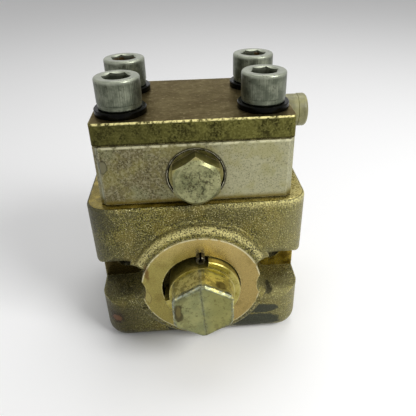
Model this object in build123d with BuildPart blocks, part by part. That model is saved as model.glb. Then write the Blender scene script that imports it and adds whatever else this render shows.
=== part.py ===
"""Four way reversing valve: cast body, quarter-turn spool, ported sandwich block and blank cover.

Millimetres, +Z up. X runs across the front and +Y from the front to the rear mounting face.
The origin lies on the base plane under the centre of the cover screw pattern.
"""
import os
from math import cos, radians, sin

from build123d import *

# ---- fits ----
running_clearance = 0.05   # radial, spool in its bores
end_clearance = 0.15       # axial, between turning and fixed faces
thread_clearance = 0.1     # radial, between a plain thread cylinder and its hole
seal_play = 0.05           # round a seal in its groove

# ---- cast body ----
body_w = 94.8              # across the sides
body_depth = 73.0          # front face to rear mounting face
body_h = 76.9
body_front_y = -31.4
body_corner_r = 10.0       # upright corners
body_top_edge_r = 1.6
body_base_edge_r = 8.0

# ---- stem axis and front boss ----
stem_z = 37.0              # height of the stem axis and of both mounting bolts
boss_h = 5.8               # machined seat ahead of the body's front face
boss_face_r = 27.0         # machined seat
boss_step = 0.6            # machined step round the seat
shoulder_w = 4.4           # cast shoulder round the seat
shoulder_root_w = 1.8      # root fillet round the shoulder
recess_r = 17.8
recess_depth = 7.2
spool_bore_r = 14.0
spool_bore_length = 50.0
neck_bore_r = 9.0
neck_web_t = 6.0           # wall that the spool's neck runs through
rear_cavity_r = 13.5

# ---- mounting bolts (M10, along Y, one each side of the stem) ----
bolt_x = 35.5
bolt_hole_r = 5.5
bolt_seat_depth = 20.0     # bolt seat behind the body's front face
bolt_cutter_r = 10.4       # cutter that faces the seat
pocket_wall_gap = 0.4      # between the cutter and the cast pocket wall
pocket_lip_r = 5.0

# ---- flow passages ----
port_r = 5.0
rear_port_x = 21.5
base_port_r = 7.6
base_port_depth = 12.0
top_port_r = 10.0
top_port_depth = 15.4
port_seal_r = 0.7          # cord radius of the rear port seals

# ---- stacked block and cover ----
stack_side_setback = 7.0   # in from the body's sides
stack_setback = 3.4        # behind the body's front face
block_depth = 68.0
block_h = 26.4
block_corner = 2.6
block_edge = 0.5
cover_depth = 56.0
cover_t = 9.6
cover_corner_r = 2.6
cover_edge = 0.45
face_seal_r = 1.1          # cord radius of the block's two face seals
face_seal_land = 2.7       # wall between the passage and a face seal groove
face_groove_side = 0.3     # room at each side of a face seal

# ---- M12 cap screws and spring washers ----
screw_inset_x = 11.6       # screw axes in from the cover's sides
screw_pitch_y = 30.0
screw_r = 5.9
thread_engagement = 16.5   # screw in the cast body
tap_runout = 4.9           # tapped hole past the screw's tip
screw_hole_gap = 0.85      # radial, in block and cover
head_r = 9.0
head_h = 12.0
head_band_h = 2.2          # plain band below the knurl
head_band_step = 0.2
head_edge = 0.9            # rounded rim
socket_af = 10.0
socket_depth = 6.6
socket_rim = 0.55          # depth of the dished end face
washer_t = 2.5
washer_r = 10.5
washer_bore_gap = 0.25
washer_split = 1.6

# ---- quarter-turn spool ----
hex_af = 26.0
hex_length = 11.7
hex_corner_r = 14.4        # round behind the hexagon's corners
hex_bevel = 0.9
pin_ring_gap = 1.25        # between the stop pin and the round inside the ring's cut
step_t = 0.8
ring_proud = 3.8           # stop ring ahead of the boss seat
ring_gap = 0.5             # radial, stop ring in its recess
ring_edge = 0.4
turn_angle = 90.0
stop_margin = 11.5         # degrees from the pin's centre to the cut's face at either limit
flow_margin = 2.5          # flow cut past the ports at each end
web_lap = 1.0              # web wider than a port
groove_w = 3.0
spool_seal_r = 1.18        # cord radius
front_groove_inset = 10.0  # from the recess floor
rear_groove_inset = 8.5    # from the rear end of the spool bore
scribe_w = 0.45
scribe_depth = 0.3
scribe_tilt = 4.0

# ---- spool retention and rear plug ----
thrust_washer_t = 2.0
thrust_washer_r = 12.6
ring_t = 1.2               # retaining ring
ring_r = 11.4
ring_groove_depth = 0.65
ring_slot_w = 5.0
neck_tail = 2.0            # neck past the ring groove
rear_plug_gap = 1.4        # between the neck's end and the plug
rear_plug_inset = 0.3      # plug behind the mounting face
rear_plug_lip = 1.6        # plug ahead of its seal groove
rear_seal_r = 1.05         # cord radius
rear_socket_af = 12.0
rear_socket_depth = 5.0

# ---- stop pin (slotted spring pin) ----
pin_r = 1.95
pin_wall = 0.9
pin_hole_depth = 15.2
pin_tip_gap = 0.4
pin_slot_w = 0.9

# ---- hex plug in the block ----
plug_height = 12.2         # plug axis above the block's underside
plug_pocket_depth = 6.5
plug_pocket_gap = 0.4
plug_flange_r = 11.4
plug_flange_t = 4.5
plug_hex_length = 8.0
plug_bevel = 2.1
plug_af = 19.0
plug_thread_r = 9.0
plug_thread_length = 11.5
plug_washer_t = 1.5
gallery_r = 6.0            # drilling from the passage to the service port

# ---- service nipple and cap on the block's right side ----
service_inset = 10.5       # from the block's rear face
service_height = 17.9      # above the block's underside
service_port_r = 2.5
nipple_thread_r = 6.4
nipple_thread_length = 9.4
nipple_hex_af = 17.0
nipple_hex_t = 6.0
nipple_r = 5.5
nipple_bore_r = 2.0
nipple_length = 8.5        # ahead of its hexagon
nipple_bevel = 1.6
nipple_washer_t = 1.0
cap_fit = 0.1
cap_wall = 2.7
cap_end_gap = 0.3
cap_rim = 5.0              # raised band at the cap's closed end
cap_round = 1.9

# ---- worked out from the sizes above ----
body_rear_y = body_front_y + body_depth
boss_face_y = body_front_y - boss_h
shoulder_r = boss_face_r + shoulder_w
shoulder_root_r = shoulder_r + shoulder_root_w
recess_floor_y = boss_face_y + recess_depth
spool_bore_end_y = recess_floor_y + spool_bore_length
neck_bore_end_y = spool_bore_end_y + neck_web_t
bolt_seat_y = body_front_y + bolt_seat_depth
pocket_r = bolt_cutter_r + pocket_wall_gap
port_seal_pocket_r = port_r + 2 * (port_seal_r + seal_play)
port_seal_pocket_depth = 2 * port_seal_r + seal_play

stack_w = body_w - 2 * stack_side_setback
block_side_x = stack_w / 2
stack_front_y = body_front_y + stack_setback
block_rear_y = stack_front_y + block_depth
block_top_z = body_h + block_h
cover_top_z = block_top_z + cover_t
face_seal_ring_r = top_port_r + face_seal_land + face_groove_side + face_seal_r

seat_z = cover_top_z + washer_t
head_top_z = seat_z + head_h
screw_tip_z = body_h - thread_engagement
screw_hole_r = screw_r + screw_hole_gap
screw_pitch_x = stack_w - 2 * screw_inset_x
screw_spots = {
    "front_left": (-screw_pitch_x / 2, -screw_pitch_y / 2),
    "front_right": (screw_pitch_x / 2, -screw_pitch_y / 2),
    "rear_left": (-screw_pitch_x / 2, screw_pitch_y / 2),
    "rear_right": (screw_pitch_x / 2, screw_pitch_y / 2),
}

journal_r = spool_bore_r - running_clearance
neck_r = neck_bore_r - running_clearance
groove_r = journal_r - 2 * (spool_seal_r + seal_play)
stop_ring_y = boss_face_y - ring_proud
stop_ring_r = recess_r - ring_gap
step_r = recess_r - pin_r - pin_ring_gap
shank_step_y = stop_ring_y - step_t
hex_face_y = shank_step_y - hex_length
front_groove_y = recess_floor_y + front_groove_inset
rear_groove_y = spool_bore_end_y - rear_groove_inset
thrust_washer_y = neck_bore_end_y + end_clearance
ring_y = thrust_washer_y + thrust_washer_t + end_clearance
ring_groove_r = neck_r - ring_groove_depth
neck_end_y = ring_y + ring_t + neck_tail
rear_plug_y = neck_end_y + rear_plug_gap
rear_plug_end_y = body_rear_y - rear_plug_inset
rear_seal_y = rear_plug_y + rear_plug_lip + rear_seal_r + seal_play

plug_z = body_h + plug_height
plug_pocket_y = stack_front_y + plug_pocket_depth
plug_back_y = plug_pocket_y - plug_washer_t
plug_flange_y = plug_back_y - plug_flange_t
plug_face_y = plug_flange_y - plug_hex_length
service_y = block_rear_y - service_inset
service_z = body_h + service_height
hex_start_x = block_side_x + nipple_washer_t
hex_end_x = hex_start_x + nipple_hex_t
nipple_tip_x = hex_end_x + nipple_length

os.makedirs("parts", exist_ok=True)


def save(part, name):
    part.label = name
    export_step(part, f"parts/{name}.step")


def along_y(y, x=0.0, z=stem_z):
    """Plane facing the rear, for cylinders and sketches drawn along +Y."""
    return Plane(origin=(x, y, z), x_dir=(1, 0, 0), z_dir=(0, 1, 0))


def facing_front(y, x=0.0, z=stem_z):
    """Plane facing the front, drawn as seen by someone who stands ahead of the valve."""
    return Plane(origin=(x, y, z), x_dir=(1, 0, 0), z_dir=(0, -1, 0))


def along_x(x, y, z):
    return Plane(origin=(x, y, z), x_dir=(0, 1, 0), z_dir=(1, 0, 0))


def turned_about_y(z=stem_z):
    """Plan plane for a profile (radius, y) and the axis that it is revolved about."""
    return Plane(origin=(0, 0, z)), Axis((0, 0, z), (0, 1, 0))


def hexagon(across_flats):
    return RegularPolygon(across_flats / 2, 6, major_radius=False, mode=Mode.PRIVATE)


def corner_radius(across_flats):
    return across_flats / 2 / cos(radians(30))


stem_plan, stem_axis = turned_about_y()


def bolt_pocket(side, front_y):
    """Cast pocket about a bolt axis, open through the body's side, its lip rounded out to front_y."""
    pocket_plan = along_x(side * bolt_x, 0, stem_z)
    lip_y = front_y + pocket_lip_r
    mouth_r = pocket_r + pocket_lip_r
    with BuildPart() as pocket:
        with BuildSketch(pocket_plan) as half:
            with BuildLine():
                Polyline((front_y, mouth_r), (boss_face_y - 1, mouth_r), (boss_face_y - 1, 0))
                Polyline((boss_face_y - 1, 0), (bolt_seat_y, 0), (bolt_seat_y, pocket_r), (lip_y, pocket_r))
                RadiusArc((lip_y, pocket_r), (front_y, mouth_r), pocket_lip_r)
            make_face()
        revolve(axis=Axis((side * bolt_x, 0, stem_z), (0, 1, 0)))
        with BuildSketch(pocket_plan):
            add(half.sketch_local)
            mirror(about=Plane.XZ)
        extrude(amount=side * (body_w / 2 - bolt_x + 1))
    return pocket.part

# ==== cast body ====
with BuildPart() as valve_body:
    with BuildSketch(Plane.XY):
        with Locations((0, (body_front_y + body_rear_y) / 2)):
            RectangleRounded(body_w, body_depth, body_corner_r)
    extrude(amount=body_h)
    fillet(valve_body.faces().sort_by(Axis.Z)[-1].edges(), body_top_edge_r)
    fillet(valve_body.faces().sort_by(Axis.Z)[0].edges(), body_base_edge_r)

    for side in (-1, 1):
        add(bolt_pocket(side, body_front_y), mode=Mode.SUBTRACT)

    # front boss: rounded cast shoulder with a root fillet, cut back at the pockets
    brow_y = boss_face_y + boss_h * 0.62
    with BuildPart(mode=Mode.PRIVATE) as shoulder:
        with BuildSketch(stem_plan):
            with BuildLine():
                step_y = boss_face_y + boss_step
                brow_r = boss_face_r + shoulder_w * 0.27
                behind_y = body_front_y + pocket_lip_r
                Polyline((0, step_y), (boss_face_r, step_y), (brow_r, step_y + 0.2))
                ThreePointArc(
                    (brow_r, step_y + 0.2),
                    (shoulder_r - shoulder_w * 0.2, (step_y + brow_y) / 2 - 0.3),
                    (shoulder_r, brow_y),
                )
                ThreePointArc(
                    (shoulder_r, brow_y),
                    (shoulder_r + shoulder_root_w * 0.3, body_front_y - shoulder_root_w * 0.3),
                    (shoulder_root_r, body_front_y),
                )
                Polyline((shoulder_root_r, body_front_y), (shoulder_root_r, behind_y), (0, behind_y))
                Line((0, behind_y), (0, step_y))
            make_face()
        revolve(axis=stem_axis)
        for side in (-1, 1):
            add(bolt_pocket(side, brow_y), mode=Mode.SUBTRACT)
    add(shoulder.part)
    # machined seat
    with BuildSketch(along_y(boss_face_y)):
        Circle(boss_face_r)
    extrude(amount=boss_h)
    # the shoulder ends flat at the base
    split(bisect_by=Plane.XY, keep=Keep.TOP)

    # stem bores, front to rear
    with BuildSketch(stem_plan):
        with BuildLine():
            ahead_y = boss_face_y - 1
            behind_y = body_rear_y + 1
            Polyline(
                (0, ahead_y), (recess_r, ahead_y), (recess_r, recess_floor_y),
                (spool_bore_r, recess_floor_y), (spool_bore_r, spool_bore_end_y),
                (neck_bore_r, spool_bore_end_y), (neck_bore_r, neck_bore_end_y),
                (rear_cavity_r, neck_bore_end_y), (rear_cavity_r, behind_y), (0, behind_y), close=True,
            )
        make_face()
    revolve(axis=stem_axis, mode=Mode.SUBTRACT)

    # stop pin hole on the edge of the recess
    with BuildSketch(along_y(boss_face_y, z=stem_z + recess_r)):
        Circle(pin_r)
    extrude(amount=pin_hole_depth, mode=Mode.SUBTRACT)

    for side in (-1, 1):
        # cutter clearance through the boss down to the bolt seat, then the bolt hole
        with BuildSketch(along_y(boss_face_y - 1, x=side * bolt_x)):
            Circle(bolt_cutter_r)
        extrude(amount=bolt_seat_y - boss_face_y + 1, mode=Mode.SUBTRACT)
        with BuildSketch(along_y(bolt_seat_y, x=side * bolt_x)):
            Circle(bolt_hole_r)
        extrude(amount=body_rear_y - bolt_seat_y, mode=Mode.SUBTRACT)
        # working port to the rear face with its seal pocket
        with BuildSketch(along_y(0, x=side * rear_port_x)):
            Circle(port_r)
        extrude(amount=body_rear_y, mode=Mode.SUBTRACT)
        with BuildSketch(along_y(body_rear_y, x=side * rear_port_x)):
            Circle(port_seal_pocket_r)
        extrude(amount=-port_seal_pocket_depth, mode=Mode.SUBTRACT)
    # cross passage between the working ports, through the spool
    with BuildSketch(along_x(-rear_port_x, 0, stem_z)):
        Circle(port_r)
    extrude(amount=2 * rear_port_x, mode=Mode.SUBTRACT)

    # top and base passages
    with BuildSketch(Plane.XY):
        Circle(port_r)
    extrude(amount=body_h, mode=Mode.SUBTRACT)
    with BuildSketch(Plane.XY.offset(body_h)):
        Circle(top_port_r)
    extrude(amount=-top_port_depth, mode=Mode.SUBTRACT)
    with BuildSketch(Plane.XY):
        Circle(base_port_r)
    extrude(amount=base_port_depth, mode=Mode.SUBTRACT)

    # tapped holes for the cover screws
    with BuildSketch(Plane.XY.offset(body_h)):
        with GridLocations(screw_pitch_x, screw_pitch_y, 2, 2):
            Circle(screw_r + thread_clearance)
    extrude(amount=-thread_engagement - tap_runout, mode=Mode.SUBTRACT)
save(valve_body.part, "valve_body")

# ==== quarter-turn spool ====
with BuildPart() as rotary_spool:
    with BuildSketch(stem_plan):
        with BuildLine():
            ring_back_y = recess_floor_y - end_clearance
            journal_end_y = spool_bore_end_y - end_clearance
            ring_groove_y = ring_y - seal_play
            ring_groove_end_y = ring_y + ring_t + seal_play
            Polyline(
                (0, hex_face_y), (hex_corner_r, hex_face_y), (hex_corner_r, shank_step_y),
                (step_r, shank_step_y), (step_r, stop_ring_y),
                (stop_ring_r - ring_edge, stop_ring_y), (stop_ring_r, stop_ring_y + ring_edge),
                (stop_ring_r, ring_back_y), (journal_r, ring_back_y),
                (journal_r, front_groove_y), (groove_r, front_groove_y),
                (groove_r, front_groove_y + groove_w), (journal_r, front_groove_y + groove_w),
                (journal_r, rear_groove_y), (groove_r, rear_groove_y),
                (groove_r, rear_groove_y + groove_w), (journal_r, rear_groove_y + groove_w),
                (journal_r, journal_end_y), (neck_r, journal_end_y),
                (neck_r, ring_groove_y), (ring_groove_r, ring_groove_y),
                (ring_groove_r, ring_groove_end_y), (neck_r, ring_groove_end_y),
                (neck_r, neck_end_y - ring_groove_depth), (ring_groove_r, neck_end_y),
                (0, neck_end_y), close=True,
            )
        make_face()
    revolve(axis=stem_axis)

    # hexagon milled on the front of the round shank, corner up
    with BuildSketch(facing_front(shank_step_y)):
        Circle(recess_r)
        add(hexagon(hex_af).rotate(Axis.Z, 30), mode=Mode.SUBTRACT)
    extrude(amount=hex_length, mode=Mode.SUBTRACT)
    chamfer(rotary_spool.faces().sort_by(Axis.Y)[0].edges(), hex_bevel)

    # part of the stop ring cut away so that the pin limits the turn
    gap_start = 90 - stop_margin
    gap_middle = 90 + turn_angle / 2
    gap_end = 90 + turn_angle + stop_margin
    with BuildSketch(facing_front(recess_floor_y)):
        with BuildLine():
            start = (recess_r * cos(radians(gap_start)), recess_r * sin(radians(gap_start)))
            middle = (recess_r * cos(radians(gap_middle)), recess_r * sin(radians(gap_middle)))
            end = (recess_r * cos(radians(gap_end)), recess_r * sin(radians(gap_end)))
            Line((0, 0), start)
            ThreePointArc(start, middle, end)
            Line(end, (0, 0))
        make_face()
        Circle(step_r, mode=Mode.SUBTRACT)
    extrude(amount=recess_floor_y - stop_ring_y, mode=Mode.SUBTRACT)

    # two flow cuts either side of a diagonal web
    flow_half_w = port_r + flow_margin
    with BuildSketch(facing_front(flow_half_w)):
        Circle(spool_bore_r)
        Rectangle(2 * spool_bore_r, 2 * port_r + web_lap, rotation=-45, mode=Mode.SUBTRACT)
    extrude(amount=2 * flow_half_w, mode=Mode.SUBTRACT)

    # position line scribed down the hexagon's face
    with BuildSketch(facing_front(hex_face_y)):
        Rectangle(scribe_w, 2 * hex_corner_r, rotation=scribe_tilt)
    extrude(amount=-scribe_depth, mode=Mode.SUBTRACT)
save(rotary_spool.part, "rotary_spool")

for seal_name, seal_groove_y in (
    ("spool_seal_front", front_groove_y), ("spool_seal_rear", rear_groove_y)
):
    with BuildPart() as spool_seal:
        with Locations(along_y(seal_groove_y + groove_w / 2)):
            Torus((journal_r + groove_r) / 2, spool_seal_r)
    save(spool_seal.part, seal_name)

# ==== slotted spring pin ====
with BuildPart() as stop_pin:
    with BuildSketch(along_y(stop_ring_y, z=stem_z + recess_r)):
        Circle(pin_r)
        Circle(pin_r - pin_wall, mode=Mode.SUBTRACT)
        with Locations((0, -pin_r)):
            Rectangle(pin_slot_w, 2 * pin_r, mode=Mode.SUBTRACT)
    extrude(amount=boss_face_y - stop_ring_y + pin_hole_depth - pin_tip_gap)
    pin_rims = stop_pin.edges().filter_by(GeomType.CIRCLE)
    chamfer(pin_rims.filter_by(lambda rim: rim.radius > pin_r - pin_wall / 2), pin_wall / 3)
save(stop_pin.part, "stop_pin")

# ==== rear retention of the spool ====
with BuildPart() as thrust_washer:
    with BuildSketch(along_y(thrust_washer_y)):
        Circle(thrust_washer_r)
        Circle(neck_r + thread_clearance, mode=Mode.SUBTRACT)
    extrude(amount=thrust_washer_t)
save(thrust_washer.part, "thrust_washer")

with BuildPart() as retaining_ring:
    with BuildSketch(along_y(ring_y)):
        Circle(ring_r)
        Circle(ring_groove_r + seal_play, mode=Mode.SUBTRACT)
        with Locations((0, ring_r)):
            Rectangle(ring_slot_w, 2 * (ring_r - ring_groove_r) + 1, mode=Mode.SUBTRACT)
    extrude(amount=ring_t)
save(retaining_ring.part, "retaining_ring")

with BuildPart() as rear_plug:
    rear_plug_r = rear_cavity_r - thread_clearance
    rear_groove_r = rear_plug_r - 2 * rear_seal_r
    with BuildSketch(stem_plan):
        with BuildLine():
            groove_half = rear_seal_r + 3 * seal_play
            Polyline(
                (0, rear_plug_y), (rear_plug_r - 0.5, rear_plug_y), (rear_plug_r, rear_plug_y + 0.5),
                (rear_plug_r, rear_seal_y - groove_half), (rear_groove_r, rear_seal_y - groove_half),
                (rear_groove_r, rear_seal_y + groove_half), (rear_plug_r, rear_seal_y + groove_half),
                (rear_plug_r, rear_plug_end_y - 0.3), (rear_plug_r - 0.3, rear_plug_end_y),
                (0, rear_plug_end_y), close=True,
            )
        make_face()
    revolve(axis=stem_axis)
    with BuildSketch(along_y(rear_plug_end_y)):
        add(hexagon(rear_socket_af))
    extrude(amount=-rear_socket_depth, mode=Mode.SUBTRACT)
save(rear_plug.part, "rear_plug")

with BuildPart() as rear_plug_seal:
    with Locations(along_y(rear_seal_y)):
        Torus(rear_groove_r + rear_seal_r + seal_play / 2, rear_seal_r)
save(rear_plug_seal.part, "rear_plug_seal")

for seal_name, seal_x in (("port_seal_a", -rear_port_x), ("port_seal_b", rear_port_x)):
    with BuildPart() as port_seal:
        with Locations(along_y(body_rear_y - port_seal_r, x=seal_x)):
            Torus(port_r + port_seal_r + seal_play, port_seal_r)
    save(port_seal.part, seal_name)

# ==== sandwich block ====
with BuildPart() as sandwich_block:
    with Locations((0, (stack_front_y + block_rear_y) / 2, body_h)):
        Box(stack_w, block_depth, block_h, align=(Align.CENTER, Align.CENTER, Align.MIN))
    chamfer(sandwich_block.edges().filter_by(Axis.Z), block_corner)
    chamfer(sandwich_block.faces().sort_by(Axis.Z)[-1].edges(), block_edge)
    chamfer(sandwich_block.faces().sort_by(Axis.Z)[0].edges(), block_edge)

    # main passage and screw holes
    with BuildSketch(Plane.XY.offset(body_h)):
        Circle(top_port_r)
        with GridLocations(screw_pitch_x, screw_pitch_y, 2, 2):
            Circle(screw_hole_r)
    extrude(amount=block_h, mode=Mode.SUBTRACT)

    # face seal grooves below and above
    groove_half = face_seal_r + face_groove_side
    groove_depth = 2 * face_seal_r + seal_play
    for face_z, depth in ((body_h, groove_depth), (block_top_z, -groove_depth)):
        with BuildSketch(Plane.XY.offset(face_z)):
            Circle(face_seal_ring_r + groove_half)
            Circle(face_seal_ring_r - groove_half, mode=Mode.SUBTRACT)
        extrude(amount=depth, mode=Mode.SUBTRACT)

    # plug pocket, tapped bore and the drilling on to the service port
    with BuildSketch(along_y(stack_front_y, z=plug_z)):
        Circle(plug_flange_r + plug_pocket_gap)
    extrude(amount=plug_pocket_depth, mode=Mode.SUBTRACT)
    with BuildSketch(along_y(stack_front_y, z=plug_z)):
        Circle(plug_thread_r + thread_clearance)
    extrude(amount=-stack_front_y - top_port_r / 2, mode=Mode.SUBTRACT)
    with BuildSketch(along_y(0, z=plug_z)):
        Circle(gallery_r)
    extrude(amount=service_y + service_port_r, mode=Mode.SUBTRACT)

    # service port in the right side
    with BuildSketch(along_x(block_side_x, service_y, service_z)):
        Circle(nipple_thread_r + thread_clearance)
    extrude(amount=-nipple_thread_length, mode=Mode.SUBTRACT)
    with BuildSketch(along_x(0, service_y, service_z)):
        Circle(service_port_r)
    extrude(amount=block_side_x, mode=Mode.SUBTRACT)
save(sandwich_block.part, "sandwich_block")

for seal_name, seal_z in (("body_seal", body_h + face_seal_r), ("cover_seal", block_top_z - face_seal_r)):
    with BuildPart() as face_seal:
        with Locations((0, 0, seal_z)):
            Torus(face_seal_ring_r, face_seal_r)
    save(face_seal.part, seal_name)

# ==== hex plug in the block ====
with BuildPart() as block_plug:
    plug_plan, plug_axis = turned_about_y(z=plug_z)
    bevel_r = corner_radius(plug_af) + 0.2
    neck_back_y = plug_back_y + plug_washer_t
    plug_end_y = plug_back_y + plug_thread_length
    with BuildSketch(plug_plan):
        with BuildLine():
            Polyline(
                (0, plug_face_y), (plug_af / 2 - 1, plug_face_y), (bevel_r, plug_face_y + plug_bevel),
                (bevel_r, plug_flange_y), (plug_flange_r - 0.2, plug_flange_y),
                (plug_flange_r, plug_flange_y + 0.3), (plug_flange_r, plug_back_y),
                (plug_thread_r - 1, plug_back_y), (plug_thread_r - 1, neck_back_y),
                (plug_thread_r, neck_back_y + 1), (plug_thread_r, plug_end_y - 1),
                (plug_thread_r - 1, plug_end_y), (0, plug_end_y), close=True,
            )
        make_face()
    revolve(axis=plug_axis)
    with BuildSketch(facing_front(plug_flange_y, z=plug_z)):
        Circle(bevel_r + 1)
        add(hexagon(plug_af).rotate(Axis.Z, 30), mode=Mode.SUBTRACT)
    extrude(amount=plug_hex_length, mode=Mode.SUBTRACT)
save(block_plug.part, "block_plug")

with BuildPart() as plug_washer:
    with BuildSketch(along_y(plug_back_y, z=plug_z)):
        Circle(plug_flange_r)
        Circle(plug_thread_r + thread_clearance, mode=Mode.SUBTRACT)
    extrude(amount=plug_washer_t)
save(plug_washer.part, "plug_washer")

# ==== service nipple, its washer and the push-on cap ====
service_axis = Axis((0, service_y, service_z), (1, 0, 0))
service_plan = Plane(origin=(0, service_y, service_z))

with BuildPart() as service_nipple:
    nipple_start_x = block_side_x - nipple_thread_length + 0.5
    nipple_bevel_r = corner_radius(nipple_hex_af) + 0.1
    with BuildSketch(service_plan):
        with BuildLine():
            Polyline(
                (nipple_start_x, nipple_bore_r), (nipple_start_x, nipple_thread_r - 0.8),
                (nipple_start_x + 0.8, nipple_thread_r), (hex_start_x, nipple_thread_r),
                (hex_start_x, nipple_bevel_r), (hex_end_x - 0.8, nipple_bevel_r),
                (hex_end_x, nipple_hex_af / 2), (hex_end_x, nipple_r),
                (nipple_tip_x - nipple_bevel, nipple_r), (nipple_tip_x, nipple_r - nipple_bevel),
                (nipple_tip_x, nipple_bore_r), close=True,
            )
        make_face()
    revolve(axis=service_axis)
    with BuildSketch(along_x(hex_start_x, service_y, service_z)):
        Circle(nipple_bevel_r + 1)
        add(hexagon(nipple_hex_af), mode=Mode.SUBTRACT)
    extrude(amount=nipple_hex_t, mode=Mode.SUBTRACT)
save(service_nipple.part, "service_nipple")

with BuildPart() as nipple_washer:
    with BuildSketch(along_x(block_side_x, service_y, service_z)):
        Circle(nipple_hex_af / 2)
        Circle(nipple_thread_r + thread_clearance, mode=Mode.SUBTRACT)
    extrude(amount=nipple_washer_t)
save(nipple_washer.part, "nipple_washer")

with BuildPart() as port_cap:
    cap_start_x = hex_end_x + cap_end_gap
    cap_inner_x = nipple_tip_x + cap_end_gap
    cap_end_x = cap_inner_x + cap_wall
    cap_inner_r = nipple_r + cap_fit
    cap_r = cap_inner_r + cap_wall
    cap_sleeve_r = cap_r - 0.25
    with BuildSketch(service_plan):
        with BuildLine():
            Polyline(
                (cap_inner_x, 0), (cap_inner_x, cap_inner_r), (cap_start_x, cap_inner_r),
                (cap_start_x, cap_sleeve_r), (cap_end_x - cap_rim, cap_sleeve_r),
                (cap_end_x - cap_rim + 0.4, cap_r), (cap_end_x - cap_round, cap_r),
            )
            RadiusArc((cap_end_x - cap_round, cap_r), (cap_end_x, cap_r - cap_round), cap_round)
            Polyline((cap_end_x, cap_r - cap_round), (cap_end_x, 0), (cap_inner_x, 0))
        make_face()
    revolve(axis=service_axis)
save(port_cap.part, "port_cap")

# ==== cover plate ====
with BuildPart() as cover_plate:
    with Locations((0, stack_front_y + cover_depth / 2, block_top_z)):
        Box(stack_w, cover_depth, cover_t, align=(Align.CENTER, Align.CENTER, Align.MIN))
    fillet(cover_plate.edges().filter_by(Axis.Z), cover_corner_r)
    chamfer(cover_plate.faces().sort_by(Axis.Z)[-1].edges(), cover_edge)
    chamfer(cover_plate.faces().sort_by(Axis.Z)[0].edges(), cover_edge)
    with BuildSketch(Plane.XY.offset(block_top_z)):
        with GridLocations(screw_pitch_x, screw_pitch_y, 2, 2):
            Circle(screw_hole_r)
    extrude(amount=cover_t, mode=Mode.SUBTRACT)
save(cover_plate.part, "cover_plate")

# ==== cap screws with spring washers ====
split_turn = {"front_left": 118, "front_right": 62, "rear_left": 200, "rear_right": -20}
for spot, (sx, sy) in screw_spots.items():
    with BuildPart() as spring_washer:
        washer_bore_r = screw_r + washer_bore_gap
        with BuildSketch(Plane(origin=(sx, sy, cover_top_z))):
            Circle(washer_r)
            Circle(washer_bore_r, mode=Mode.SUBTRACT)
        extrude(amount=washer_t)
        washer_rims = spring_washer.edges().filter_by(GeomType.CIRCLE)
        chamfer(washer_rims.filter_by(lambda rim: rim.radius > washer_bore_r + 1), washer_t / 8)
        turn = split_turn[spot]
        mid_r = (washer_r + washer_bore_r) / 2
        split_at = Location(
            (sx + mid_r * cos(radians(turn)), sy + mid_r * sin(radians(turn)), cover_top_z + washer_t / 2),
            (0, 0, turn),
        )
        with Locations(split_at * Location((0, 0, 0), (35, 0, 0))):
            Box(2 * (washer_r - washer_bore_r), washer_split, 3 * washer_t, mode=Mode.SUBTRACT)
    save(spring_washer.part, f"spring_washer_{spot}")

    with BuildPart() as cap_screw:
        with BuildSketch(Plane(origin=(sx, sy, 0), x_dir=(1, 0, 0), z_dir=(0, -1, 0))):
            with BuildLine():
                dish_r = socket_af / 2
                dish_z = head_top_z - socket_rim
                rim_z = head_top_z - head_edge
                band_r = head_r - head_band_step
                Polyline(
                    (0, dish_z), (0, screw_tip_z), (screw_r - 1, screw_tip_z), (screw_r, screw_tip_z + 1),
                    (screw_r, seat_z), (band_r - 0.4, seat_z), (band_r, seat_z + 0.5),
                    (band_r, seat_z + head_band_h), (head_r, seat_z + head_band_h + head_band_step),
                    (head_r, rim_z),
                )
                RadiusArc((head_r, rim_z), (head_r - head_edge, head_top_z), -head_edge)
                Polyline(
                    (head_r - head_edge, head_top_z), (corner_radius(socket_af) + 0.2, head_top_z),
                    (dish_r, dish_z), (0, dish_z),
                )
            make_face()
        revolve(axis=Axis((sx, sy, 0), (0, 0, 1)))
        with BuildSketch(Plane(origin=(sx, sy, head_top_z))):
            add(hexagon(socket_af).rotate(Axis.Z, 12 * len(spot) % 60))
        extrude(amount=-socket_depth, mode=Mode.SUBTRACT)
        with Locations((sx, sy, head_top_z - socket_depth)):
            Cone(
                0.6, socket_af / 2 - 0.3, socket_af / 6,
                align=(Align.CENTER, Align.CENTER, Align.MAX), mode=Mode.SUBTRACT,
            )
    save(cap_screw.part, f"cap_screw_{spot}")
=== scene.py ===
"""Looks of a four way reversing valve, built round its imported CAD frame. Metres, +Z up, front towards -Y."""
import math
from functools import reduce

import bpy
from mathutils import Matrix, Vector

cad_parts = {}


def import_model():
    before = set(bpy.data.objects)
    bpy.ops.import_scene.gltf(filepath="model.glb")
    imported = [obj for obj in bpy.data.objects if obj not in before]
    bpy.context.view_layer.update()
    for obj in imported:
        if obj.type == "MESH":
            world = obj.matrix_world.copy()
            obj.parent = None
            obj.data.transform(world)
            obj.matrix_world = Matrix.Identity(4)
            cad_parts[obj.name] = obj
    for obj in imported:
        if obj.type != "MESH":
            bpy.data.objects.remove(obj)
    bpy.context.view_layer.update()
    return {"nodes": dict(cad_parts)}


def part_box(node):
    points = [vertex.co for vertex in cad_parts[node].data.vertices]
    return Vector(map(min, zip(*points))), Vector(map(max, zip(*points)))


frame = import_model()
MM = 0.001

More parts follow.
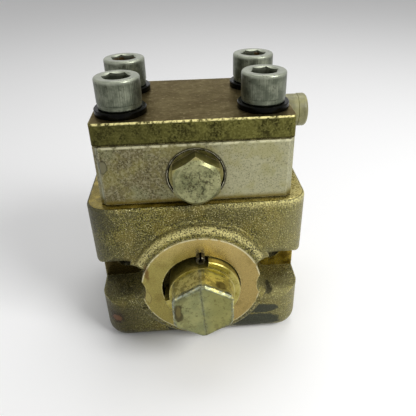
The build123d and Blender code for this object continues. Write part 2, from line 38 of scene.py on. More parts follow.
# ------------------------------------------------------------------ places, from the frame
body_low, body_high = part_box("valve_body")
spool_low, spool_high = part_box("rotary_spool")
block_low, block_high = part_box("sandwich_block")
cover_low, cover_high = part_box("cover_plate")
plug_low, plug_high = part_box("block_plug")
screw_low, screw_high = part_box("cap_screw_rear_right")
STEM = Vector((0.0, spool_low.y, (spool_low.z + spool_high.z) / 2))
PLUG = Vector((0.0, plug_low.y, (plug_low.z + plug_high.z) / 2))
SCREW = (screw_low + screw_high) / 2
HEAD_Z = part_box("cap_screw_front_left")[1].z
WASHER_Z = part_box("spring_washer_front_left")[1].z
CAP_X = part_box("port_cap")[0].x
BOSS_Y = body_low.y

# sizes of CAD forms that the marks keep to
BOSS_H = 5.8 * MM              # machined seat ahead of the body's front face
SEAT_R = 27 * MM               # machined seat round the stem
BOLT_SEAT_DEPTH = 20 * MM      # bolt seats behind the body's front face
HEX_LENGTH = 11.7 * MM         # hexagon on the spool
PLUG_POCKET_R = 11.8 * MM      # recess round the hex plug
HEAD_BAND_H = 2.2 * MM         # plain band below the screws' knurl
SOCKET_R = 5.8 * MM            # corners of the screws' sockets
FRONT_Y = BOSS_Y + BOSS_H

# fine detail that only the shading has
TURNING_PITCH = 0.55 * MM      # rings on the machined seat
KNURL_TEETH = 64
MARK_DEPTH = 9 * MM            # half depth of a mark, which reaches through the front's relief


# ------------------------------------------------------------------ colours and marks
def srgb(red, green, blue):
    """Linear colour from the eight-bit values a designer would pick."""
    def linear(value):
        value /= 255
        return value / 12.92 if value <= 0.04045 else ((value + 0.055) / 1.055) ** 2.4
    return (linear(red), linear(green), linear(blue), 1.0)


def at(x, z):
    """Centre of a mark on the front, in millimetres across and up."""
    return (x * MM, FRONT_Y, z * MM)


def span(x, z):
    """Half sizes of a mark on the front, in millimetres across and up."""
    return (x * MM, MARK_DEPTH, z * MM)


# ------------------------------------------------------------------ shader building
class Shader:
    """One procedural material in object coordinates, built node by node. A mask is 0 to 1."""

    def __init__(self, name, **principled):
        self.material = bpy.data.materials.new(name)
        self.material.use_nodes = True
        self.tree = self.material.node_tree
        self.tree.nodes.clear()
        self.bsdf = self.node("ShaderNodeBsdfPrincipled")
        for key, value in principled.items():
            self.bsdf.inputs[key.replace("_", " ").title().replace("Ior", "IOR")].default_value = value
        output = self.node("ShaderNodeOutputMaterial")
        self.link(self.bsdf.outputs["BSDF"], output.inputs["Surface"])
        coords = self.node("ShaderNodeTexCoord")
        self.place = coords.outputs["Object"]
        self.facing = coords.outputs["Normal"]
        axes = self.node("ShaderNodeSeparateXYZ")
        self.link(self.place, axes.inputs[0])
        self.x, self.y, self.z = axes.outputs
        self.bumped = None

    # ---- nodes
    def node(self, kind):
        return self.tree.nodes.new(kind)

    def link(self, source, target):
        self.tree.links.new(source, target)

    def feed(self, socket, value):
        """Link a socket, or set a plain value."""
        if isinstance(value, bpy.types.NodeSocket):
            self.link(value, socket)
        else:
            socket.default_value = value

    def math(self, operation, a, b=0.0, c=0.0):
        node = self.node("ShaderNodeMath")
        node.operation = operation
        for socket, value in zip(node.inputs, (a, b, c)):
            self.feed(socket, value)
        return node.outputs[0]

    def vector(self, operation, a, b=(0, 0, 0), out="Vector"):
        node = self.node("ShaderNodeVectorMath")
        node.operation = operation
        self.feed(node.inputs[0], a)
        self.feed(node.inputs[1], b)
        return node.outputs[out]

    def mix(self, factor, a, b):
        node = self.node("ShaderNodeMix")
        node.data_type = "RGBA"
        self.feed(node.inputs[0], factor)
        self.feed(node.inputs[6], a)
        self.feed(node.inputs[7], b)
        return node.outputs[2]

    def noise(self, scale, detail=3.0, rough=0.6, twist=0.0, stretch=None, shift=(0, 0, 0)):
        """Noise with `scale` features per metre, stretched per axis where given."""
        where = self.place
        if stretch is not None:
            where = self.vector("MULTIPLY", where, stretch)
        if any(shift):
            where = self.vector("ADD", where, shift)
        node = self.node("ShaderNodeTexNoise")
        self.link(where, node.inputs["Vector"])
        node.inputs["Scale"].default_value = scale
        node.inputs["Detail"].default_value = detail
        node.inputs["Roughness"].default_value = rough
        node.inputs["Distortion"].default_value = twist
        return node.outputs["Fac"]

    # ---- masks
    def step(self, value, low, high):
        """0 below low and 1 above high, smooth between; low above high turns it round."""
        node = self.node("ShaderNodeMapRange")
        node.interpolation_type = "SMOOTHSTEP"
        flip = low > high
        self.feed(node.inputs[0], value)
        node.inputs[1].default_value, node.inputs[2].default_value = (high, low) if flip else (low, high)
        node.inputs[3].default_value, node.inputs[4].default_value = (1.0, 0.0) if flip else (0.0, 1.0)
        return node.outputs[0]

    def past(self, distance, edge, start, full):
        """0 at `start` millimetres past an edge and 1 at `full`."""
        return self.step(distance, edge + start * MM, edge + full * MM)

    def patches(self, scale, low, high, detail=3.0, rough=0.6, **where):
        """Uneven patches: noise cut off between two levels."""
        return self.step(self.noise(scale, detail, rough, **where), low, high)

    def dots(self, scale, size, share, shift=(0, 0, 0)):
        """Round specks: `scale` cells per metre, `size` of a cell across, in about a `share` of the cells."""
        node = self.node("ShaderNodeTexVoronoi")
        self.link(self.vector("ADD", self.place, shift), node.inputs["Vector"])
        node.inputs["Scale"].default_value = scale
        near = self.step(node.outputs["Distance"], size, size * 0.6)
        kept = self.patches(scale / 4, 0.56 - share * 0.2, 0.62 - share * 0.2, shift=shift)
        return self.all_of(near, kept)

    def blob(self, centre, radii, soft, ragged, grain):
        """1 inside an uneven ellipsoid and 0 outside."""
        offset = self.vector("DIVIDE", self.vector("SUBTRACT", self.place, centre), radii)
        distance = self.vector("LENGTH", offset, out="Value")
        wobble = self.uneven(-ragged, 2 * ragged, grain)
        return self.step(self.math("ADD", distance, wobble), 1 + soft / 2, 1 - soft / 2)

    def all_of(self, *masks):
        """1 where every mask is 1."""
        return reduce(lambda a, b: self.math("MULTIPLY", a, b), masks)

    def any_of(self, *masks):
        """1 where one of the masks is 1."""
        return reduce(lambda a, b: self.math("MAXIMUM", a, b), masks)

    def outside(self, mask):
        """1 where the mask is 0."""
        return self.math("SUBTRACT", 1.0, mask)

    def towards(self, axis, low=0.6, high=0.9):
        """1 where the surface faces along an axis."""
        return self.step(self.vector("DOT_PRODUCT", self.facing, axis, out="Value"), low, high)

    def edges(self, radius, low=0.03, high=0.2):
        """1 on convex and concave edges, from how far a rounded normal leaves the plain one."""
        bevel = self.node("ShaderNodeBevel")
        bevel.samples = 4
        bevel.inputs["Radius"].default_value = radius
        plain = self.node("ShaderNodeNewGeometry").outputs["Normal"]
        same = self.vector("DOT_PRODUCT", bevel.outputs[0], plain, out="Value")
        return self.step(self.math("SUBTRACT", 1.0, same), low, high)

    def hollows(self, reach, low=0.2, high=0.7):
        """1 deep in corners and slots, 0 on open surfaces."""
        node = self.node("ShaderNodeAmbientOcclusion")
        node.samples = 6
        node.inputs["Distance"].default_value = reach
        return self.step(node.outputs["AO"], high, low)

    # ---- values over the surface
    def uneven(self, base, spread, scale, detail=3.0, rough=0.6):
        """A value that wanders from base to base + spread."""
        return self.math("MULTIPLY_ADD", self.noise(scale, detail, rough), spread, base)

    def around(self, centre):
        """Distance from an axis that runs along y through the centre."""
        offset = self.vector("MULTIPLY", self.vector("SUBTRACT", self.place, centre), (1, 0, 1))
        return self.vector("LENGTH", offset, out="Value")

    def over(self, colour, tint, mask, amount):
        """The colour with an amount of a tint laid over it where the mask is."""
        return self.mix(self.math("MULTIPLY", mask, amount), colour, tint)

    def stains(self, colour, *rows):
        """The colour under uneven stains. A row is a tint, an amount and what blob takes."""
        for tint, amount, *shape in rows:
            colour = self.over(colour, tint, self.blob(*shape), amount)
        return colour

    def bump(self, height, strength, distance):
        """Add a relief on top of those before it."""
        node = self.node("ShaderNodeBump")
        node.inputs["Strength"].default_value = strength
        node.inputs["Distance"].default_value = distance
        self.link(height, node.inputs["Height"])
        if self.bumped is not None:
            self.link(self.bumped, node.inputs["Normal"])
        self.bumped = node.outputs["Normal"]

    def finish(self, colour, rough=None, metallic=None):
        """Feed the surface, and hand back its material."""
        for name, value in (("Base Color", colour), ("Roughness", rough), ("Metallic", metallic)):
            if value is not None:
                self.feed(self.bsdf.inputs[name], value)
        self.link(self.bumped, self.bsdf.inputs["Normal"])
        return self.material


# ------------------------------------------------------------------ the cast body
def turned_colour(s, radius):
    """Pinkish gold of the machined seat, lighter at its crown, with a bright broken rim."""
    colour = s.mix(s.past(s.x, 0, -14, 4), srgb(146, 135, 72), srgb(158, 138, 82))
    colour = s.over(colour, srgb(120, 104, 50), s.patches(130, 0.5, 0.66, 4.0, 0.65), 0.5)
    colour = s.over(colour, srgb(76, 58, 26), s.patches(900, 0.60, 0.70, 4.0, 0.7), 0.6)
    colour = s.over(colour, srgb(192, 170, 108), s.past(s.z, STEM.z, 12, 24), 0.5)
    rim = s.all_of(s.past(radius, SEAT_R, -0.7, -0.3), s.patches(300, 0.36, 0.52))
    return s.over(colour, srgb(206, 200, 168), rim, 0.7)


def bolt_seat_colour(s):
    """Gold at the right, darkened with painted shade at the left."""
    colour = s.mix(s.patches(240, 0.4, 0.6), srgb(96, 78, 14), srgb(150, 130, 48))
    # painted shade over the left bolt seat
    return s.mix(s.past(s.x, 0, 5, -5), colour, srgb(66, 56, 22))


def cast_gold():
    """Rough cast iron under an olive-gold chromate, with machined places, rust and slate-grey marks."""
    s = Shader("cast gold")
    grain = s.noise(1500, 4.0, 0.68)
    colour = s.mix(s.step(grain, 0.42, 0.59), srgb(36, 32, 11), srgb(134, 127, 64))
    colour = s.over(colour, srgb(88, 84, 54), s.patches(46, 0.42, 0.6), 0.5)
    colour = s.over(colour, srgb(150, 133, 58), s.patches(95, 0.5, 0.66, shift=(0.2, 0.1, 0)), 0.25)
    # painted highlight: pale glints scattered over the grain
    colour = s.over(colour, srgb(222, 214, 158), s.patches(2000, 0.58, 0.65), 0.75)

    # the left side is greyer; painted shade darkens its foot, and painted light makes the right of the front
    # lighter
    left = s.past(s.math("ADD", s.x, s.uneven(0.0, 14 * MM, 120, 4.0)), 0, -24, -37)
    colour = s.over(colour, srgb(60, 60, 42), left, 0.5)
    # painted shade at the foot of the left side
    shaded_foot = s.all_of(s.past(s.x, 0, -24, -38), s.past(s.z, 0, 27, 21))
    colour = s.over(colour, srgb(44, 38, 16), shaded_foot, 0.55)
    # painted light on the right of the front
    right = s.past(s.math("ADD", s.x, s.uneven(0.0, 14 * MM, 90, 4.0)), 0, 24, 52)
    colour = s.over(colour, srgb(156, 150, 100), s.all_of(right, s.past(s.y, FRONT_Y, 12, 8)), 0.35)

    # machined places: the seat round the stem, the top under the block and the bolt seats
    radius = s.around(STEM)
    seat = s.past(s.y, BOSS_Y, 0.45, 0.3)
    top = s.all_of(s.past(s.z, body_high.z, -0.3, -0.1), s.towards((0, 0, 1)))
    bolt_seat = s.all_of(s.towards((0, -1, 0), 0.9, 0.97), s.past(s.y, FRONT_Y + BOLT_SEAT_DEPTH, -3.8, -1.8))
    smooth = s.any_of(seat, top, bolt_seat)
    colour = s.mix(top, colour, s.mix(s.patches(160, 0.4, 0.62), srgb(112, 98, 26), srgb(158, 140, 62)))
    colour = s.mix(bolt_seat, colour, bolt_seat_colour(s))
    colour = s.mix(seat, colour, turned_colour(s, radius))

    # painted highlight on the shoulder over the seat and along the upper rim; then the bright rubbed edges
    shoulder = s.all_of(
        s.past(radius, SEAT_R, 1.2, 2.6), s.past(radius, SEAT_R, 5, 3.6),
        s.past(s.z, STEM.z, 0, 16), s.past(s.y, BOSS_Y, 6, 4),
    )
    rim = s.all_of(s.past(s.z, body_high.z, -4, -1.5), s.past(s.x, 0, -4, 34))
    # painted highlight: gold light on the shoulder and upper rim
    lit = s.all_of(s.any_of(shoulder, rim), s.step(grain, 0.42, 0.54))
    colour = s.over(colour, srgb(226, 216, 148), lit, 0.5)
    worn = s.all_of(s.edges(1.1 * MM), s.patches(620, 0.40, 0.58, 4.0, 0.65))
    colour = s.over(colour, srgb(214, 206, 150), worn, 0.7)
    # dirt and painted shade in the hollows, weaker on the machined top
    grime_and_shade = s.all_of(s.hollows(4 * MM, 0.2, 0.65), s.math("MULTIPLY_ADD", top, -0.5, 0.6))
    colour = s.mix(grime_and_shade, colour, srgb(34, 28, 10))

    # slate patches along the foot
    slate = s.any_of(
        s.blob(at(29.4, 15.6), span(8.4, 2.6), 0.15, 0.5, 260),
        s.blob(at(25.5, 7.6), span(12.5, 5.0), 0.15, 0.4, 220),
        s.blob(at(-13.5, 6.6), span(4.0, 3.2), 0.15, 0.5, 260),
    )
    slate = s.all_of(slate, s.outside(seat))
    colour = s.over(colour, s.mix(grain, srgb(38, 42, 36), srgb(74, 78, 66)), slate, 0.92)

    # a grey corner, a black spot, rust in a dark patch, and on the seat's left a rusty streak and a nick
    level = STEM.z / MM
    nick = at(-24.5, level - 4.4)
    colour = s.stains(
        colour,
        (srgb(52, 51, 38), 0.55, at(-42, 72), span(7.0, 6.5), 1.0, 1.4, 260),
        (srgb(24, 22, 12), 0.85, at(32.4, 26.0), span(2.0, 1.7), 0.5, 0.5, 500),
        (srgb(40, 28, 14), 0.75, at(-41.4, 15.4), span(3.6, 3.8), 0.5, 0.8, 500),
        (srgb(106, 72, 46), 0.9, at(-41.4, 15.2), span(2.1, 1.8), 0.4, 0.9, 600),
        (srgb(92, 60, 26), 0.75, at(-23.9, level + 10.4), span(1.2, 5.0), 0.7, 0.7, 400),
        (srgb(88, 68, 38), 0.7, nick, span(1.85, 4.3), 0.2, 0.5, 260),
        (srgb(158, 148, 88), 0.9, nick, span(1.5, 3.9), 0.2, 0.5, 260),
    )

    rough = s.uneven(0.22, 0.3, 900)
    rough = s.math("SUBTRACT", rough, s.math("MULTIPLY", smooth, 0.1))
    rough = s.math("ADD", rough, s.math("MULTIPLY", slate, 0.2))
    coarse = s.outside(smooth)
    rings = s.math("SINE", s.math("MULTIPLY", radius, 2 * math.pi / TURNING_PITCH))
    s.bump(s.all_of(s.noise(380, 4.0), coarse), 0.7, 0.8 * MM)
    s.bump(s.all_of(grain, coarse), 1.0, 0.6 * MM)
    s.bump(s.all_of(rings, seat), 0.1, 0.03 * MM)
    return s.finish(colour, rough, 0.8)


# ------------------------------------------------------------------ the stacked plates
def block_plated():
    """Milled steel with a pale chromate, finely speckled, with painted light that makes it dull at the left
    and bright at the right.
    """
    s = Shader("block plated")
    # painted light: the front brightens from left to right
    painted_light = s.past(s.math("ADD", s.x, s.uneven(-20 * MM, 40 * MM, 30)), 0, -16, 24)
    colour = s.mix(painted_light, srgb(98, 91, 60), srgb(152, 150, 118))
    colour = s.over(colour, srgb(172, 168, 136), s.patches(900, 0.46, 0.60, 4.0, 0.7), 0.4)
    colour = s.over(colour, srgb(128, 132, 96), s.patches(70, 0.5, 0.65, shift=(0.4, 0, 0.2)), 0.35)
    specks = s.any_of(s.dots(1300, 0.42, 0.8), s.dots(620, 0.32, 0.3, (0.3, 0.1, 0)))
    specks = s.all_of(specks, s.math("MULTIPLY_ADD", painted_light, -0.5, 1.0))
    colour = s.over(colour, srgb(48, 41, 22), specks, 0.75)

    # gold clouds, a painted gold reflection along the lower edge, a rubbed line along the front's upper and
    # right edges
    gold = s.patches(95, 0.46, 0.62, 4.0, 0.65, shift=(0.9, 0, 0.2))
    colour = s.over(colour, srgb(140, 134, 74), gold, 0.35)
    # painted reflection: a gold band along the lower edge
    colour = s.over(colour, srgb(112, 98, 32), s.past(s.z, block_low.z, 3.2, 0.8), 0.8)
    front = s.past(s.y, block_low.y, 1.6, 0.9)
    ragged = s.patches(420, 0.38, 0.54, 4.0, 0.7)
    line = s.any_of(s.past(s.z, block_high.z, -1.3, -0.8), s.past(s.x, block_high.x, -1.0, -0.6))
    colour = s.over(colour, srgb(212, 208, 170), s.all_of(line, ragged, front), 0.6)

    # painted shade as a dark ring round the plug's recess, dirt and painted shade in the corners, worn edges
    ring = s.all_of(s.past(s.around(PLUG), PLUG_POCKET_R, 1.1, 0.4), s.past(s.y, PLUG.y, 20, 18))
    colour = s.over(colour, srgb(26, 20, 6), ring, 0.9)
    colour = s.over(colour, srgb(26, 20, 6), s.hollows(3 * MM), 0.8)
    colour = s.over(colour, srgb(226, 222, 190), s.all_of(s.edges(0.7 * MM), ragged), 0.9)

    # the left end of the front is scraped and dented
    scraped = s.all_of(s.past(s.x, block_low.x, 2.4, 1.4), s.patches(300, 0.38, 0.52, 4.0, 0.7), front)
    colour = s.over(colour, srgb(150, 154, 136), scraped, 0.8)
    dent = at(-37.0, 94.8)
    colour = s.stains(
        colour,
        (srgb(48, 46, 34), 0.7, dent, span(1.9, 3.6), 0.2, 0.5, 260),
        (srgb(112, 108, 82), 0.85, dent, span(1.45, 3.0), 0.2, 0.5, 260),
    )
    s.bump(s.noise(1100, 4.0, 0.65), 0.4, 0.08 * MM)
    s.bump(specks, -0.3, 0.08 * MM)
    return s.finish(colour, s.uneven(0.24, 0.3, 600, 4.0, 0.65), 0.75)


def cover_plated():
    """Olive-gold sides, a brown-grey stained top and a bright rubbed line along its front edge."""
    s = Shader("cover plated", specular_ior_level=0.2, specular_tint=(0.8, 0.7, 0.5, 1))
    clouds = s.patches(130, 0.38, 0.62, 5.0, 0.7, stretch=(1, 1, 0.7))
    colour = s.mix(clouds, srgb(42, 40, 15), srgb(88, 86, 42))
    colour = s.over(colour, srgb(126, 123, 68), s.patches(1100, 0.46, 0.60, 4.0, 0.7), 0.45)
    colour = s.over(colour, srgb(28, 25, 10), s.dots(700, 0.34, 0.4), 0.7)
    colour = s.over(colour, srgb(40, 37, 16), s.patches(300, 0.57, 0.66, 4.0, 0.7, shift=(0.1, 0.2, 0)), 0.5)
    colour = s.over(colour, srgb(44, 43, 20), s.past(s.x, 0, 10, -34), 0.4)

    # the top: brown scratches and pale flecks, both drawn out along x
    patina = s.mix(s.patches(70, 0.4, 0.62, 5.0, 0.7), srgb(56, 48, 26), srgb(80, 72, 48))
    scratches = s.patches(420, 0.50, 0.62, 5.0, 0.75, stretch=(0.6, 1, 1))
    patina = s.over(patina, srgb(50, 38, 20), scratches, 0.7)
    flecks = s.patches(620, 0.55, 0.66, 5.0, 0.75, shift=(0, 0.3, 0), stretch=(0.6, 1, 1))
    patina = s.over(patina, srgb(146, 136, 104), flecks, 0.6)
    colour = s.mix(s.towards((0, 0, 1)), colour, patina)

    # dirt and painted shade in the corners, painted shade along the seam at the foot; a rubbed line, full
    # along the front and thin at the sides
    colour = s.over(colour, srgb(24, 20, 8), s.hollows(4 * MM), 0.8)
    colour = s.over(colour, srgb(26, 22, 8), s.past(s.z, cover_low.z, 1.3, 0.8), 0.85)
    line = s.all_of(s.past(s.z, cover_high.z, -0.9, -0.5), s.past(s.y, cover_low.y, 0.9, 0.5))
    worn = s.all_of(s.any_of(line, s.edges(0.6 * MM)), s.patches(500, 0.40, 0.56, 4.0, 0.7))
    colour = s.over(colour, srgb(226, 216, 150), worn, 0.9)
    s.bump(s.noise(900, 4.0, 0.65), 0.4, 0.1 * MM)
    s.bump(s.noise(240, 4.0, 0.7, twist=1.0), 0.35, 0.25 * MM)
    return s.finish(colour, s.uneven(0.24, 0.34, 500, 4.0, 0.65), 0.75)


# ------------------------------------------------------------------ the turned pieces
def spool_plated():
    """Turned and milled gold chromate; the hexagon's end is dull grey-green with rubbed slate edges."""
    s = Shader("spool plated")
    colour = s.mix(s.patches(150, 0.38, 0.62, 4.0), srgb(134, 124, 52), srgb(172, 160, 88))
    colour = s.over(colour, srgb(196, 188, 124), s.patches(900, 0.5, 0.66, 4.0, 0.7), 0.35)
    hexagon = s.past(s.y, spool_low.y + HEX_LENGTH, -0.1, -0.5)
    flats = s.mix(s.past(s.x, 0, -0.4, 0.4), srgb(204, 200, 148), srgb(206, 196, 112))
    flats = s.over(flats, srgb(108, 100, 54), s.patches(320, 0.46, 0.58, 4.0, 0.65), 0.65)
    colour = s.mix(hexagon, colour, flats)
    end = s.past(s.y, spool_low.y, 0.5, 0.2)
    dull = s.mix(s.patches(110, 0.38, 0.64, 4.0), srgb(122, 125, 84), srgb(148, 148, 98))
    dull = s.over(dull, srgb(140, 134, 66), s.past(s.x, 0, -2, 6), 0.45)
    dull = s.over(dull, srgb(98, 94, 58), s.patches(900, 0.56, 0.68, 4.0, 0.7), 0.4)
    colour = s.mix(end, colour, dull)
    colour = s.over(colour, srgb(66, 54, 24), s.patches(760, 0.58, 0.66, 3.0, 0.65, shift=(0.1, 0.2, 0)), 0.5)

    # slate-grey rubbed band on the hexagon's edges and behind its end face
    wave = s.math("ADD", s.y, s.uneven(-1.2 * MM, 2.4 * MM, 210))
    band = s.all_of(s.past(wave, spool_low.y, 2.7, 2.1), s.outside(end))
    rubbed = s.any_of(s.edges(1.5 * MM, 0.012, 0.06), band)
    rubbed = s.all_of(hexagon, rubbed, s.patches(420, 0.34, 0.52, 4.0, 0.7))
    slate = s.mix(s.patches(800, 0.42, 0.6), srgb(66, 74, 70), srgb(122, 130, 120))
    colour = s.over(colour, slate, rubbed, 0.85)
    # dirt and painted shade in the hollows
    colour = s.over(colour, srgb(30, 24, 8), s.hollows(3 * MM), 0.75)
    worn = s.all_of(s.edges(0.5 * MM, 0.05, 0.25), s.outside(hexagon))
    colour = s.over(colour, srgb(232, 224, 166), worn, 0.7)

    # stains on the end face, a gouge at its left and a dark blot on the upper right flat
    end_stains = s.all_of(end, s.patches(140, 0.52, 0.62, 5.0, 0.75, shift=(0, 0.5, 0.1)))
    colour = s.over(colour, srgb(84, 78, 42), end_stains, 0.4)
    gouge = STEM + Vector((-10.6, 0, 1)) * MM
    blot = STEM + Vector((8, 5, 13)) * MM
    colour = s.stains(
        colour,
        (srgb(58, 48, 22), 0.85, gouge, span(1.9, 5.0), 0.4, 0.9, 300),
        (srgb(110, 100, 56), 0.75, gouge, span(1.0, 3.4), 0.5, 0.8, 400),
        (srgb(54, 44, 18), 0.8, blot, (2.8 * MM, 2.6 * MM, 6 * MM), 0.6, 0.6, 300),
    )
    rough = s.uneven(0.18, 0.26, 600, 4.0, 0.65)
    rough = s.math("ADD", rough, s.math("MULTIPLY", end, 0.12))
    s.bump(s.noise(900, 4.0, 0.65), 0.3, 0.07 * MM)
    s.bump(s.noise(90), 0.3, 0.25 * MM)
    return s.finish(colour, rough, 0.8)


def plug_plated():
    """Dull grey-green end face with dark stains, gold in the crevices."""
    s = Shader("plug plated")
    colour = s.mix(s.patches(160, 0.38, 0.62, 4.0), srgb(96, 92, 48), srgb(140, 134, 80))
    dull = s.mix(s.patches(140, 0.38, 0.62, 4.0, 0.65), srgb(112, 114, 78), srgb(150, 150, 108))
    middle = s.blob(PLUG, (6.5 * MM, 9 * MM, 6.5 * MM), 1.0, 0.6, 300)
    dull = s.over(dull, srgb(44, 42, 28), s.all_of(middle, s.patches(620, 0.46, 0.6, 4.0, 0.7)), 0.85)
    dull = s.over(dull, srgb(70, 62, 34), s.dots(900, 0.4, 0.6, (0.2, 0, 0.4)), 0.6)
    colour = s.mix(s.past(s.y, plug_low.y, 1.6, 0.8), colour, dull)
    colour = s.over(colour, srgb(56, 48, 24), s.patches(800, 0.58, 0.67, 3.0, 0.65, shift=(0.1, 0.2, 0)), 0.5)
    # dirt and painted shade in the crevices
    colour = s.over(colour, srgb(20, 16, 4), s.hollows(3.5 * MM, 0.2, 0.75), 0.8)
    # painted highlight: pale glints along the edges and chamfers
    worn = s.all_of(s.edges(0.5 * MM), s.patches(420, 0.44, 0.58, 4.0, 0.7))
    colour = s.over(colour, srgb(206, 190, 160), worn, 0.8)
    s.bump(s.noise(900, 4.0, 0.65), 0.35, 0.07 * MM)
    s.bump(s.noise(70, 2.0, 0.5), 0.3, 0.25 * MM)
    return s.finish(colour, s.uneven(0.2, 0.3, 600, 4.0, 0.65), 0.8)


def screw_zinc():
    """Grey zinc on a finely knurled head: bright rim and plain band, painted shade in the knurl's grooves,
    oily dirt and painted shade in the socket.
    """
    s = Shader("screw zinc")
    # the four screws stand mirrored about x and y, so one material finds each one's own axis
    across = s.math("SUBTRACT", s.math("ABSOLUTE", s.x), SCREW.x)
    along = s.math("SUBTRACT", s.math("ABSOLUTE", s.y), SCREW.y)
    angle = s.math("ARCTAN2", along, across)
    reach = s.math("SQRT", s.math("ADD", s.math("POWER", across, 2.0), s.math("POWER", along, 2.0)))
    rim = s.past(s.z, HEAD_Z, -1.7, -0.8)
    side = s.all_of(s.past(s.z, WASHER_Z + HEAD_BAND_H, 0, 0.3), s.outside(rim))
    teeth = s.math("MULTIPLY_ADD", s.math("SINE", s.math("MULTIPLY", angle, KNURL_TEETH)), 0.5, 0.5)
    knurl = s.all_of(teeth, side)
    colour = s.mix(s.patches(260, 0.36, 0.66, 4.0, 0.65), srgb(86, 91, 76), srgb(128, 132, 114))
    colour = s.over(colour, srgb(70, 74, 62), s.patches(1300, 0.46, 0.62, stretch=(1, 1, 0.1)), 0.35)
    # painted shade in the knurl's grooves
    colour = s.over(colour, srgb(50, 53, 42), s.math("SUBTRACT", side, knurl), 0.2)
    colour = s.over(colour, srgb(158, 162, 146), rim, 0.5)
    colour = s.over(colour, srgb(46, 44, 30), s.patches(620, 0.60, 0.68, 4.0, 0.65, shift=(0.4, 0, 0)), 0.65)
    # dirt and painted shade in the socket and hollows, in patches
    grime_and_shade = s.all_of(s.hollows(4 * MM, 0.15, 0.5), s.patches(300, 0.46, 0.60))
    colour = s.over(colour, srgb(26, 26, 16), grime_and_shade, 0.75)

    # rust left in the rear screws' sockets
    socket = s.all_of(s.past(s.z, HEAD_Z, -0.8, -1.4), s.past(reach, SOCKET_R, 0.4, 0))
    rust = s.all_of(socket, s.patches(420, 0.52, 0.60, shift=(0, 0.7, 0)), s.past(s.y, SCREW.y, -8, -7))
    colour = s.over(colour, srgb(112, 78, 28), rust, 0.8)
    s.bump(knurl, 0.4, 0.1 * MM)
    s.bump(s.noise(900), 0.25, 0.06 * MM)
    return s.finish(colour, s.uneven(0.26, 0.2, 700), 0.85)


# ------------------------------------------------------------------ small pieces
def washer_black():
    """Blackened spring steel, wet with oil."""
    s = Shader("washer black", specular_ior_level=0.06)
    colour = s.mix(s.patches(500, 0.4, 0.7), srgb(2, 2, 1), srgb(9, 8, 3))
    s.bump(s.noise(420, 4.0, 0.65), 0.45, 0.16 * MM)
    return s.finish(colour, s.uneven(0.10, 0.22, 260), 0.0)


def cap_plastic():
    """Soft yellowed plastic, rubbed and a little dirty, darker towards the block."""
    s = Shader("cap plastic", subsurface_weight=0.2, subsurface_radius=(2 * MM, 1.8 * MM, 1.2 * MM))
    colour = s.mix(s.patches(180, 0.35, 0.65, 3.0, 0.55), srgb(108, 105, 67), srgb(140, 137, 93))
    colour = s.over(colour, srgb(96, 93, 58), s.past(s.x, CAP_X, 5.0, 3.5), 0.5)
    scuffs = s.noise(500, 4.0, 0.7, stretch=(6, 1, 1))
    colour = s.over(colour, srgb(90, 86, 54), s.step(scuffs, 0.55, 0.7), 0.45)
    s.bump(scuffs, 0.2, 0.08 * MM)
    return s.finish(colour, s.uneven(0.34, 0.2, 400))


def plain(name, colour_a, colour_b, rough, metallic):
    """A slightly mottled material for pieces of which little or nothing shows."""
    s = Shader(name, roughness=rough, metallic=metallic)
    colour = s.mix(s.patches(500, 0.35, 0.65), colour_a, colour_b)
    s.bump(s.noise(1000), 0.2, 0.05 * MM)
    return s.finish(colour)


# ------------------------------------------------------------------ which piece wears what
ZINC = screw_zinc()
OILED = washer_black()
PLUG_PLATED = plug_plated()
PIN = plain("pin steel", srgb(46, 42, 30), srgb(84, 80, 64), 0.3, 0.8)
RUBBER = plain("seal rubber", srgb(14, 14, 13), srgb(26, 25, 23), 0.5, 0.0)
COPPER = plain("copper", srgb(60, 42, 26), srgb(92, 66, 42), 0.4, 0.9)
STEEL = plain("inner steel", srgb(110, 110, 104), srgb(140, 140, 134), 0.4, 0.9)

DRESS = {
    "valve_body": cast_gold(), "rotary_spool": spool_plated(), "stop_pin": PIN,
    "sandwich_block": block_plated(), "cover_plate": cover_plated(),
    "block_plug": PLUG_PLATED, "plug_washer": COPPER,
    "service_nipple": PLUG_PLATED, "nipple_washer": COPPER, "port_cap": cap_plastic(),
    "rear_plug": PLUG_PLATED, "thrust_washer": STEEL, "retaining_ring": OILED,
}


def material_of(node):
    """Material of a node; the seals are what the table leaves out."""
    if node.startswith("cap_screw"):
        return ZINC
    if node.startswith("spring_washer"):
        return OILED
    return DRESS.get(node, RUBBER)


for node, item in frame["nodes"].items():
    item.data.materials.clear()
    item.data.materials.append(material_of(node))


# ------------------------------------------------------------------ floor, light and camera
def floor(half, grey):
    """Square floor under the part, `half` metres from its middle to a side."""
    corners = [(-half, -half, 0), (half, -half, 0), (half, half, 0), (-half, half, 0)]
    mesh = bpy.data.meshes.new("floor")
    mesh.from_pydata(corners, [], [(0, 1, 2, 3)])
    item = bpy.data.objects.new("floor", mesh)
    bpy.context.scene.collection.objects.link(item)
    mesh.materials.append(Shader("floor", roughness=0.9, base_color=(grey, grey, grey, 1)).material)


def lamp(name, place, target, size, power):
    """Rectangular lamp, aimed at its target."""
    data = bpy.data.lights.new(name, "AREA")
    data.shape = "RECTANGLE"
    data.size, data.size_y = size
    data.energy = power
    item = bpy.data.objects.new(name, data)
    item.location = place
    item.rotation_euler = (Vector(target) - Vector(place)).to_track_quat("-Z", "Y").to_euler()
    bpy.context.scene.collection.objects.link(item)


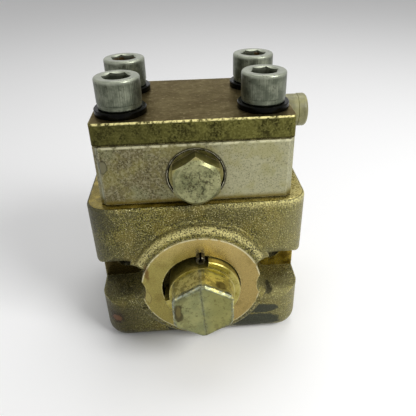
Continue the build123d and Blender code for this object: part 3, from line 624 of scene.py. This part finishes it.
def world(lit, shown):
    """White room: `lit` is its strength as light, `shown` in the picture and in reflections."""
    room = bpy.data.worlds.new("studio")
    bpy.context.scene.world = room
    room.use_nodes = True
    tree = room.node_tree
    tree.nodes.clear()
    rays = tree.nodes.new("ShaderNodeLightPath").outputs
    seen = rays["Is Camera Ray"]
    for name in ("Is Glossy Ray", "Is Transmission Ray"):
        join = tree.nodes.new("ShaderNodeMath")
        join.operation = "MAXIMUM"
        tree.links.new(seen, join.inputs[0])
        tree.links.new(rays[name], join.inputs[1])
        seen = join.outputs[0]
    blend = tree.nodes.new("ShaderNodeMixShader")
    tree.links.new(seen, blend.inputs[0])
    for socket, strength in zip(blend.inputs[1:], (lit, shown)):
        white = tree.nodes.new("ShaderNodeBackground")
        white.inputs["Color"].default_value = (1, 1, 1, 1)
        white.inputs["Strength"].default_value = strength
        tree.links.new(white.outputs[0], socket)
    output = tree.nodes.new("ShaderNodeOutputWorld")
    tree.links.new(blend.outputs[0], output.inputs[0])


def camera(place, yaw, pitch, roll, lens, shift):
    """Camera along +Y, turned right by yaw, down by pitch and on its own axis by roll, in radians."""
    data = bpy.data.cameras.new("camera")
    data.sensor_width = 36.0
    data.lens = lens
    data.shift_x, data.shift_y = shift
    data.clip_start = 0.01
    item = bpy.data.objects.new("camera", data)
    ahead = Vector((math.sin(yaw) * math.cos(pitch), math.cos(yaw) * math.cos(pitch), -math.sin(pitch)))
    level = Vector((math.cos(yaw), -math.sin(yaw), 0))
    above = level.cross(ahead)
    right = math.cos(roll) * level + math.sin(roll) * above
    up = -math.sin(roll) * level + math.cos(roll) * above
    item.matrix_world = Matrix.Translation(place) @ Matrix((right, up, -ahead)).transposed().to_4x4()
    bpy.context.scene.collection.objects.link(item)
    bpy.context.scene.camera = item


floor(half=3.0, grey=0.93)
world(lit=0.38, shown=1.0)
lamp("key", place=(0.46, -0.36, 0.52), target=(0, 0, 0.06), size=(0.3, 0.3), power=4.0)
lamp("top", place=(0.1, 0.3, 0.85), target=(0, 0, 0.06), size=(0.5, 0.5), power=2.4)
lamp("fill", place=(-0.7, -0.5, 0.35), target=(0, 0, 0.05), size=(0.6, 0.5), power=0.35)
camera(
    place=(-2.8 * MM, -190.1 * MM, 173.3 * MM), yaw=0.0646, pitch=0.5567, roll=-0.0216,
    lens=38.51, shift=(-0.0184, 0.004),
)
bpy.context.scene.view_settings.view_transform = "Standard"
